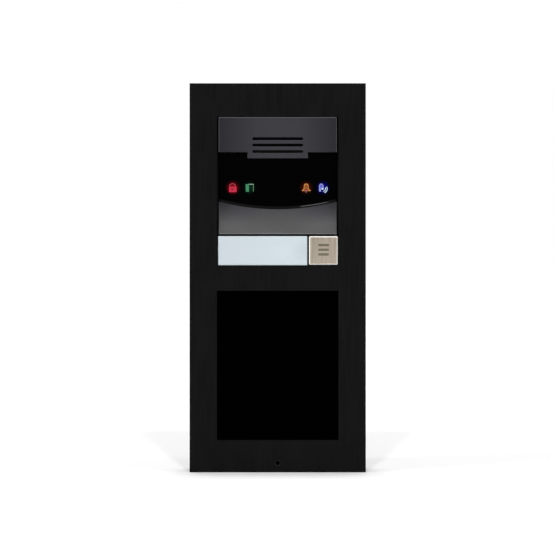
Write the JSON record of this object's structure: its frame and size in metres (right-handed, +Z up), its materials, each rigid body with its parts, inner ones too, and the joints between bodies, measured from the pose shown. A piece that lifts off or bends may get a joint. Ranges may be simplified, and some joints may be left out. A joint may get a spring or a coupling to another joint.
{
  "type": "door intercom panel",
  "caption": "Surface-mounted door intercom panel: black frame, camera unit with speaker slots, lit icons, nameplate and call button, and a plain reader module below.",
  "frame": {"origin": "middle of the back face, on the wall", "axes": "+Z up, +Y into the wall, so the front faces -Y; +X to the right as seen from the street"},
  "size_m": [0.106, 0.028, 0.234],
  "materials": {
    "black_paint": "matte black powder coat",
    "frame_paint": "matte black coat over fine vertical brushing",
    "anthracite": "satin anthracite lacquer on a zinc casting",
    "smoked_gloss": "high gloss smoked polycarbonate",
    "reader_black": "plain deep black plastic",
    "black_plastic": "matte black moulding",
    "seal_rubber": "matte black rubber",
    "milky_plastic": "satin translucent bluish white plastic",
    "white_card": "plain white card",
    "clear_guide": "clear moulded light guide",
    "brushed_nickel": "warm brushed nickel",
    "bright_steel": "bright plated steel",
    "zinc_steel": "zinc-plated sheet steel",
    "screw_steel": "plated screw steel",
    "board_green": "green circuit board",
    "cone_paper": "dark speaker paper",
    "lens_glass": "coated lens glass",
    "lamp_lens": "dark infrared lamp lens",
    "terminal_green": "green terminal plastic",
    "lead_grey": "grey cable sheath"
  },
  "bodies": {
    "station": {"wall_box": "black_paint", "front_frame": "frame_paint", "frame_seal": "seal_rubber", "module_carrier": "zinc_steel", "carrier_screw_top_left": "screw_steel", "carrier_screw_top_right": "screw_steel", "carrier_screw_bottom_left": "screw_steel", "carrier_screw_bottom_right": "screw_steel", "security_screw": "screw_steel", "cable_grommet": "seal_rubber", "main_unit_bezel": "anthracite", "camera_visor": "smoked_gloss", "main_unit_gasket": "seal_rubber", "main_unit_rear_housing": "black_plastic", "main_unit_screw_top_left": "screw_steel", "main_unit_screw_top_right": "screw_steel", "main_unit_screw_bottom_left": "screw_steel", "main_unit_screw_bottom_right": "screw_steel", "main_board": "board_green", "network_jack": "bright_steel", "terminal_block": "terminal_green", "speaker_frame": "black_plastic", "speaker_mesh": "bright_steel", "speaker_lead": "lead_grey", "camera_board": "board_green", "lens_barrel": "black_plastic", "camera_lens": "lens_glass", "infrared_led_left": "lamp_lens", "infrared_led_right": "lamp_lens", "microphone": "bright_steel", "microphone_boot": "seal_rubber", "icon_light_board": "board_green", "lock_icon_guide": "clear_guide", "door_icon_guide": "clear_guide", "bell_icon_guide": "clear_guide", "talk_icon_guide": "clear_guide", "nameplate_diffuser": "clear_guide", "nameplate_light_board": "board_green", "call_button_spring": "bright_steel", "call_switch_body": "black_plastic", "reader_cover": "reader_black", "reader_antenna_board": "board_green", "reader_gasket": "seal_rubber", "reader_rear_housing": "black_plastic", "reader_screw_top_left": "screw_steel", "reader_screw_top_right": "screw_steel", "reader_screw_bottom_left": "screw_steel", "reader_screw_bottom_right": "screw_steel", "link_cable": "lead_grey", "link_plug_upper": "black_plastic", "link_plug_lower": "black_plastic"},
    "call_button": {"call_button_cap": "brushed_nickel"},
    "call_switch": {"call_switch_plunger": "clear_guide"},
    "nameplate": {"nameplate_window": "milky_plastic", "name_card": "white_card"},
    "speaker_cone": {"speaker_cone": "cone_paper"}
  },
  "joints": [
    {"name": "call_button_press", "type": "slide", "parent": "station", "child": "call_button", "axis": [0, 1, 0], "range_m": [0, 0.001], "stiffness_N_per_m": 700, "springref_m": -0.0015, "deforming": ["call_button_spring"]},
    {"name": "call_switch_travel", "type": "slide", "parent": "station", "child": "call_switch", "axis": [0, 1, 0], "range_m": [0, 0.001]},
    {"name": "nameplate_pull", "type": "slide", "parent": "station", "child": "nameplate", "axis": [0, -1, 0], "range_m": [0, 0.012]},
    {"name": "speaker_cone_stroke", "type": "slide", "parent": "station", "child": "speaker_cone", "axis": [0, -1, 0], "range_m": [-0.0003, 0.0003], "stiffness_N_per_m": 400}
  ],
  "couplings": [
    {"joint": "call_switch_travel", "follows": "call_button_press", "ratio": 1}
  ]
}
